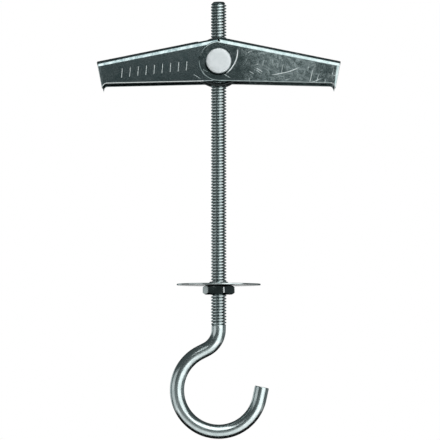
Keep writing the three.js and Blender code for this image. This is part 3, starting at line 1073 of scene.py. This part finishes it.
def blank_outline():
    """The whole blank counterclockwise as (u, v, roll), with the slot as part of it: u runs along
    the wing and v across it."""
    front = [(u, -blank_line(z), roll) for u, z, roll in side_outline(EAR)]
    back = [(u, blank_line(z), roll) for u, z, roll in side_outline(INNER_EAR)]
    inner_end = front[0][0]
    low = -SLOT_HALF - web_middle
    high = web_half + mid_bend * math.asin((SLOT_HALF - web_middle - web_half) / mid_bend)
    corner = SLOT_REACH - SLOT_CORNER
    turns = [*arc_points((corner, high - SLOT_CORNER), SLOT_CORNER, math.pi / 2, 0),
             *arc_points((corner, low + SLOT_CORNER), SLOT_CORNER, 0, -math.pi / 2)]
    slot = [(inner_end, high, STOP_ROLL), *((u, v, HOLE_ROLL) for u, v in turns),
            (inner_end, low, STOP_ROLL)]
    back = [point for point in back if point[1] > high + SLOT_CLEAR]
    far_end = [(WING_REACH, side * web_half, END_ROLL) for side in (-1, 1)]
    return slot + front + far_end + back[::-1]


def pin_hole(side):
    """The hole for the cross nut in one flange."""
    ring = list(arc_points((0, side * pin_line), PIN_HOLE, 0, 2 * math.pi))
    return [(u, v, HOLE_ROLL) for u, v in ring[:-1]]


outline = blank_outline()
holes = [pin_hole(side) for side in (-1, 1)]
print(f"outline of {len(outline)} points and {len(holes)} pin holes")

# %% [markdown]
# Delaunay triangulation fills an outline and keeps every edge that it is given. Here these are
# the rim, the holes and the bend lines. What lies outside the outline or in a hole is dropped.

# %% Fill the blank
BEND_STEPS = 10
FLARE = math.tan(math.radians(13))  # the stamped end leans in a little
FLARE_TOP = 0.8  # how far before the end that starts, next to the bend
FLARE_FOOT = 0.35  # and lower down, from the height of the pivot on
SAME_POINT = 1e-5


def loop_edges(first, count):
    """The edges of a closed loop of points that starts at an index."""
    return [(first + i, first + (i + 1) % count) for i in range(count)]


def middle_of(face):
    """The middle of a triangle of the blank."""
    return sum((Vector(blank_points[i]) for i in face), Vector((0, 0))) / 3


def inside(point, polygon):
    """Whether a point lies inside a polygon, by counting crossings."""
    x, y = point
    odd = False
    for (x1, y1, *_), (x2, y2, *_) in zip(polygon, polygon[1:] + polygon[:1]):
        if (y1 > y) != (y2 > y) and x < (x2 - x1) * (y - y1) / (y2 - y1) + x1:
            odd = not odd
    return odd


def flare_line(v):
    """How far along the wing the leaning end starts, on a flange."""
    share = min(1, max(0, (abs(v) - bend_end) / shoulder))
    return WING_REACH - FLARE_TOP + (FLARE_TOP - FLARE_FOOT) * share


points, edges = [], []
for loop in [outline, *holes]:
    edges += loop_edges(len(points), len(loop))
    points += [Vector(point[:2]) for point in loop]
for side in (-1, 1):
    for step in range(BEND_STEPS + 1):
        bend_line = side * (web_half + (bend_end - web_half) * step / BEND_STEPS)
        edges.append((len(points), len(points) + 1))
        points += [Vector((-2 * EAR, bend_line)), Vector((2 * WING_REACH, bend_line))]
    edges.append((len(points), len(points) + 1))
    points += [Vector((flare_line(side * v), side * v)) for v in (bend_end, 3 * bend_end)]

flat_points, _, flat_faces, *_ = delaunay_2d_cdt(points, edges, [], 0, SAME_POINT)
blank_points = [tuple(point) for point in flat_points]
blank_faces = [tuple(face) for face in flat_faces if inside(middle_of(face), outline)
               and not any(inside(middle_of(face), hole) for hole in holes)]
print(f"{len(blank_faces)} triangles in the blank")


# %% The blank's rim
CORNER_LIMIT = 0.6  # keeps the roll from reaching too far out at a sharp corner


def rim_of(faces):
    """The edges that only one face uses, in that face's direction."""
    used = {(a, b) for face in faces for a, b in zip(face, face[1:] + face[:1])}
    return [(a, b) for a, b in used if (b, a) not in used]


def roll_at(point):
    """How wide the edge's roll is at a point of the rim, from the nearest point of the loops."""
    nearest = min(outline + holes[0] + holes[1],
                  key=lambda p: (p[0] - point[0]) ** 2 + (p[1] - point[1]) ** 2)
    return nearest[2]


def outward_normals(points, rim):
    """For each rim point the direction out of the sheet and the stretch that a corner needs."""
    found = {}
    for a, b in rim:
        run = Vector(points[b]) - Vector(points[a])
        out = Vector((run.y, -run.x)).normalized()
        for end in (a, b):
            found.setdefault(end, []).append(out)
    result = {}
    for index, directions in found.items():
        total = sum(directions, Vector((0, 0))).normalized()
        stretch = 1 / max(CORNER_LIMIT, total.dot(directions[0]))
        result[index] = (total, stretch)
    return result


sheet_rim = rim_of(blank_faces)
sheet_out = outward_normals(blank_points, sheet_rim)
print(f"{len(sheet_rim)} edges round the rim")

# %% Steps over the rim
ROLL_STEPS = 4
INNER_STEPS = 2
INNER_ROLL = 0.07


def rim_layers(roll):
    """Steps over the rim from the upper face to the lower: inset, height, lean of the normal."""
    layers = []
    for i in range(ROLL_STEPS + 1):
        angle = math.pi / 2 * i / ROLL_STEPS
        layers.append((roll * (1 - math.sin(angle)), SHEET / 2 - roll * (1 - math.cos(angle)),
                       angle))
    for i in range(INNER_STEPS + 1):
        angle = math.pi / 2 * (1 + i / INNER_STEPS)
        layers.append((INNER_ROLL * (1 - math.sin(angle)),
                       -SHEET / 2 + INNER_ROLL * (1 + math.cos(angle)), angle))
    return layers


def flared(place, v):
    """A place on the sheet, moved where the end of a flange leans towards the other flange."""
    past = place.x - flare_line(v)
    if abs(v) < bend_end or past <= 0:
        return place
    return place - Vector((0, math.copysign(past * FLARE, v), 0))


print(f"{len(rim_layers(LONG_ROLL))} layers over the rim")


# %% Fold the whole sheet
SHEARED_FROM = 6.5  # beyond the ears, the edge is bright where the press tool slid along it


def wing_mesh():
    """Places, faces, a normal for each corner of each face, and the faces of the long edges."""
    places, normals, faces, corners = [], [], [], []

    def put(u, v, w, lean=0.0, out=None):
        """Adds a folded point, with its normal leaned outwards, and gives its number."""
        place, up, along = fold(u, v, w)
        normal = up * math.cos(lean)
        if out is not None:
            normal += (Vector((out.x, 0, 0)) + along * out.y) * math.sin(lean)
        places.append(flared(place, v))
        normals.append(normal.normalized())
        return len(places) - 1

    layers_of = {}
    for index, (out, stretch) in sheet_out.items():
        u, v = blank_points[index]
        layers_of[index] = [put(u - out.x * inset * stretch, v - out.y * inset * stretch,
                                height, lean, out)
                            for inset, height, lean in rim_layers(roll_at((u, v)))]
    upper, lower = {}, {}
    for index in sorted({index for face in blank_faces for index in face}):
        u, v = blank_points[index]
        if index in layers_of:
            upper[index], lower[index] = layers_of[index][0], layers_of[index][-1]
        else:
            upper[index] = put(u, v, SHEET / 2)
            lower[index] = put(u, v, -SHEET / 2, math.pi)

    def add_face(face, facing=None):
        """Adds a face whose corners have one normal, or else those of their points."""
        faces.append(face)
        corners.extend(facing or normals[i] for i in face)

    for face in blank_faces:
        centre = middle_of(face)
        facing = None
        if abs(centre.y) > bend_end and centre.x > flare_line(centre.y):
            facing = Vector((FLARE, math.copysign(1, centre.y), 0)).normalized()
        add_face(tuple(upper[i] for i in face), facing)
        add_face(tuple(lower[i] for i in reversed(face)), facing and -facing)
    sheared = []
    for a, b in sheet_rim:
        for above, below in zip(zip(layers_of[a], layers_of[b]),
                                zip(layers_of[a][1:], layers_of[b][1:])):
            if blank_points[a][0] > SHEARED_FROM:
                sheared.append(len(faces))
            add_face((above[1], above[0], below[0], below[1]))
    return places, faces, corners, sheared


wing_places, wing_faces, wing_corners, wing_sheared = wing_mesh()
print(f"{len(wing_faces)} faces in a wing")


# %% Both wings
def open_wing_place(turn):
    """A wing's open place: tilted about the pivot, then turned about the rod."""
    return (Matrix.Translation((0, 0, PIVOT_HEIGHT)) @ Matrix.Rotation(turn, 4, "Z")
            @ Matrix.Rotation(WEB_TILT, 4, "Y"))


def add_wing(name, body, node_name, turn, finish):
    """A wing from the folded sheet, with its sheared edges in a finish of their own."""
    place = open_wing_place(turn)
    data = bpy.data.meshes.new(name)
    data.from_pydata([(place @ p) * MM for p in wing_places], [], wing_faces)
    data.shade_smooth()
    turned = place.to_3x3()
    data.normals_split_custom_set([turned @ normal for normal in wing_corners])
    data.materials.append(finish)
    data.materials.append(edge_finish)
    for index in wing_sheared:
        data.polygons[index].material_index = 1
    made = bpy.data.objects.new(name, data)
    bpy.context.scene.collection.objects.link(made)
    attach(made, body)
    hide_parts(node_name)
    print(f"{name}: {len(data.polygons)} faces")


add_wing("right_wing_pressed", "right_arm", "right_wing", 0, scuffed_and_lit_wing_finish)
add_wing("left_wing_pressed", "left_arm", "left_wing", math.pi, shaded_wing_finish)

# %% [markdown]
# ## The tick marks
#
# The left wing's front flange has a row of short raised ticks. Each is a low ridge with a
# triangular section. It is drawn on the flat blank and folded with it, so the ridge stands square
# on the sheet wherever the fold puts it.

# %% The tick marks
TICKS = 9
FIRST_TICK = 8.4
TICK_STEP = 2.1
TICK_HALF = 1.25  # half its length
TICK_LEAN = 0.35  # how much nearer the pivot its upper end is than its middle
TICK_FOOT = 0.15  # half its width at the foot
TICK_RISE = 0.07
SUNK = 0.03
TICK_ENDS = ((1, 0.3), (0.8, 1), (-0.8, 1), (-1, 0.3))  # place along it and share of its width


def tick_rows(u):
    """Rows over one ridge, from its upper end to its lower end."""
    middle = (shoulder + u * math.tan(TAPER) - EAR / math.cos(TAPER)) / 2
    rows = []
    for share, width in TICK_ENDS:
        height = middle + share * TICK_HALF
        shift = u - share * TICK_LEAN
        section = [(-width, -SUNK), (0, TICK_RISE * width), (width, -SUNK)]
        rows.append([fold(shift + side * TICK_FOOT, pin_line - height, SHEET / 2 + rise)[0]
                     for side, rise in [*section, section[0]]])
    return rows


left_place = open_wing_place(math.pi)
ticks = [[[left_place @ point for point in row] for row in tick_rows(FIRST_TICK + i * TICK_STEP)]
         for i in range(TICKS)]
tick_caps = [row[:-1] for rows in ticks for row in (rows[0], rows[-1])]
add_piece("left_wing_ticks", rows_to_mesh(ticks, tick_caps), edge_finish, "left_arm",
          weighted=False)

# %% [markdown]
# ## The spring
#
# One piece of spring wire makes a turn and a bit round the pivot and has a leg under each wing. As
# the wings fold, the legs swing with them and the coil between takes up the turn. A mesh that
# rides on one body can't do that. The wire is made in two halves, which meet beside the rod, where
# the coil crosses from front to back, and here neither half rides on a body.

# %% The spring's line
SPRING_WIRE = 0.8
SPRING_RADIUS = 6.0
LEG_SLOPE = math.radians(22)
LEG_GAP = 0.15  # between a leg and its web
LEG_STEPS = 12
# Between these angles round the pivot, the coil crosses from front to back.
CROSSING = (math.radians(75), math.radians(-85))
SPRING_OFFSET = 2.7  # how far before and behind the rod's axis the coil lies
SPRING_STEP = math.radians(4)


def spring_offset(angle):
    """How far behind the rod's axis the coil lies at an angle round the pivot."""
    start, end = -CROSSING[0] + 2 * math.pi, -CROSSING[1] + 2 * math.pi
    share = min(1, max(0, (-angle - start) / (end - start)))
    smooth = share**3 * (share * (share * 6 - 15) + 10)  # starts and ends without a kink
    return SPRING_OFFSET * (2 * smooth - 1)


def leg_length():
    """How long a leg is from the coil to just under the web above it."""
    rise = math.sin(LEG_SLOPE + WEB_TILT)
    under_web = WEB_HEIGHT - SHEET - LEG_GAP - SPRING_WIRE / 2
    return (under_web + SPRING_RADIUS * math.cos(LEG_SLOPE + WEB_TILT)) / rise


def coil_points(start, end):
    """Points of the coil between two angles."""
    count = round(abs(end - start) / SPRING_STEP)
    for i in range(count + 1):
        angle = start + (end - start) * i / count
        yield Vector((SPRING_RADIUS * math.cos(angle), spring_offset(angle),
                      SPRING_RADIUS * math.sin(angle) + PIVOT_HEIGHT))


meeting = sum(CROSSING) / 2 - 2 * math.pi
leg = leg_length() * Vector((math.cos(LEG_SLOPE), 0, math.sin(LEG_SLOPE)))
left_leg = Vector((-leg.x, 0, leg.z))
front_wire = list(coil_points(LEG_SLOPE - math.pi / 2, meeting))
front_wire = [front_wire[0] + leg * (1 - i / LEG_STEPS) for i in range(LEG_STEPS)] + front_wire
back_wire = list(coil_points(meeting, -LEG_SLOPE - math.pi / 2 - 2 * math.pi))
back_wire += [back_wire[-1] + left_leg * (i + 1) / LEG_STEPS for i in range(LEG_STEPS)]
print(f"legs of {leg.length:.1f} mm, {len(front_wire) + len(back_wire)} points")


# %% A wire along a line
SPRING_SIDES = 16
CUT_WIDTH = 0.8  # share of the wire's radius that is left at its rounded cut
CUT_LENGTH = 0.08


def swept_wire(line, radius, sides, open_end):
    """Rows of a wire along a line of points, with a slightly rounded cut at its free end."""
    rows = []
    tangents = [(line[min(i + 1, len(line) - 1)] - line[max(i - 1, 0)]).normalized()
                for i in range(len(line))]
    angles = [2 * math.pi * i / sides for i in range(sides + 1)]
    for point, tangent in zip(line, tangents):
        side = Vector((0, 1, 0)).cross(tangent).normalized()
        other = tangent.cross(side)
        rows.append([point + radius * (math.cos(a) * side + math.sin(a) * other)
                     for a in angles])
    end, inward = (0, tangents[0]) if open_end == "first" else (-1, -tangents[-1])
    cut = [line[end] + (p - line[end]) * CUT_WIDTH - inward * CUT_LENGTH for p in rows[end]]
    return [cut, *rows] if open_end == "first" else [*rows, cut]


print("wire ready")

# %% Both halves of the spring
BLEND_TO = 2.6  # a distance from the rod's axis, listed with each half

halves = (("spring_right_half", front_wire, "right_arm", "first", -BLEND_TO),
          ("spring_left_half", back_wire, "left_arm", "last", BLEND_TO))
for name, line, body, end, reach in halves:
    rows = swept_wire(line, SPRING_WIRE / 2, SPRING_SIDES, end)
    mesh = rows_to_mesh([rows], [rows[0][:-1], rows[-1][:-1]])
    half_spring = add_piece(name, mesh, spring_finish, weighted=False)
    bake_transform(half_spring)
    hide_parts("spring")

# %% [markdown]
# ## The washer
#
# The washer is a thin round plate. Its hole was pressed up into a small cone, which centres it in
# the drilled hole. A profile turned about the rod gives it, with softly rolled edges like those of
# the wings, because it was stamped too.

# %% The washer
WASHER_THICKNESS = 0.4
WASHER_HOLE = 2.175  # radii
CONE_BASE = 2.8
EDGE_ROUNDING = 0.12
FLAT_RING = 0.7  # a ring on each face, as a share of the radius, keeps the face flat
UNDER_BEND = [(-0.15, 0.15), (0, 0.02), (0.12, 0)]  # out and up, in the corner under the cone
UPPER_BEND = [(0.15, 0), (0, 0.04), (-0.12, 0.12)]
WASHER_SIDES = 128

washer_low, washer_high = corners_mm("washer")
rim = washer_high.x
cone_height = washer_high.z
lip = max(CONE_BASE - cone_height, WASHER_HOLE)
under_base = CONE_BASE - WASHER_THICKNESS * math.tan(math.pi / 8)
bottom = washer_low.z
profile = [(WASHER_HOLE, cone_height)]
profile += [(WASHER_HOLE, under_base - WASHER_HOLE - WASHER_THICKNESS)]
profile += [(under_base + out, bottom + up) for out, up in UNDER_BEND]
profile += [(rim * FLAT_RING, bottom)]
profile += rounded_corner(rim, bottom, EDGE_ROUNDING, (1, 0), (0, 1))
profile += rounded_corner(rim, 0, EDGE_ROUNDING, (0, 1), (-1, 0))
profile += [(rim * FLAT_RING, 0)]
profile += [(CONE_BASE + out, up) for out, up in UPPER_BEND]
profile += [(lip, CONE_BASE - lip)]
washer_rows = turned_rows(profile, WASHER_SIDES, closed=True)
add_piece("washer_pressed", rows_to_mesh([washer_rows]), washer_finish, "clamp_washer",
          "washer")

# %% [markdown]
# ## The hex nut
#
# A hex nut is a six-sided bar whose corners are cut back by a cone at both ends. Drawn by angle,
# its side is a radius that swings between flat and corner, and the cone says at which height each
# angle's side begins. The bore carries the rod's own thread with a small gap round it.

# %% The hex nut
ACROSS_FLATS = 7.4
NUT_FACE = 3.45  # radius of the round flat that the cone leaves at each end
CONE = math.tan(math.radians(30))
CORNER_SOFTNESS = 0.3
NUT_CORNER_AT = math.radians(-11)
NUT_SIDES = 144
THREAD_GAP = 0.06
BORE_CHAMFER = 0.25

nut_low, nut_high = corners_mm("hex_nut")
bore_mouth = crest_radius + BORE_CHAMFER


def hex_radius(angle):
    """Radius of the hexagon at an angle, with its corners slightly rounded. turn is the angle
    from the nearest corner."""
    apothem = ACROSS_FLATS / 2
    turn = (angle - NUT_CORNER_AT + math.pi / 6) % (math.pi / 3) - math.pi / 6
    flat = apothem / math.cos(math.pi / 6 - abs(turn))
    centre = (apothem - CORNER_SOFTNESS) / math.cos(math.pi / 6)
    side = centre * math.sin(abs(turn))
    if side < CORNER_SOFTNESS:
        rounded = centre * math.cos(turn) + math.sqrt(CORNER_SOFTNESS**2 - side**2)
        return min(flat, rounded)
    return flat


def nut_row(radius_at, height_at):
    """A ring of points whose radius and height depend on the angle."""
    angles = [2 * math.pi * i / NUT_SIDES for i in range(NUT_SIDES + 1)]
    return [Vector((radius_at(a) * math.cos(a), radius_at(a) * math.sin(a), height_at(a)))
            for a in angles]


def cone_depth(angle):
    """How far from the nut's end its side begins."""
    return max(0, hex_radius(angle) - NUT_FACE) * CONE


def nut_bore(angle, height):
    """Radius of the bore: the rod's thread with a gap, and a cone at each mouth."""
    mouth = min(height - nut_low.z, nut_high.z - height)
    return max(thread_radius(angle, height) + THREAD_GAP, bore_mouth - mouth)


outside = [nut_row(lambda a: bore_mouth, lambda a: nut_low.z),
           nut_row(lambda a: NUT_FACE, lambda a: nut_low.z),
           nut_row(hex_radius, lambda a: nut_low.z + cone_depth(a)),
           nut_row(hex_radius, lambda a: nut_high.z - cone_depth(a)),
           nut_row(lambda a: NUT_FACE, lambda a: nut_high.z),
           nut_row(lambda a: bore_mouth, lambda a: nut_high.z)]
tapped = thread_rows(nut_low.z, nut_high.z, nut_bore, NUT_SIDES)
add_piece("hex_nut_cut", rows_to_mesh([outside, tapped]), shaded_nut_finish, "clamp_nut", "hex_nut")

# %% [markdown]
# ## Sizes and the end
#
# The box of the finished pieces has to match the box of the CAD model, so it is printed.

# %% Print the sizes and finish
made_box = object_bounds()
for axis, low, high in zip("XYZ", *made_box):
    print(f"{axis}: {low / MM:.2f} to {high / MM:.2f} mm")
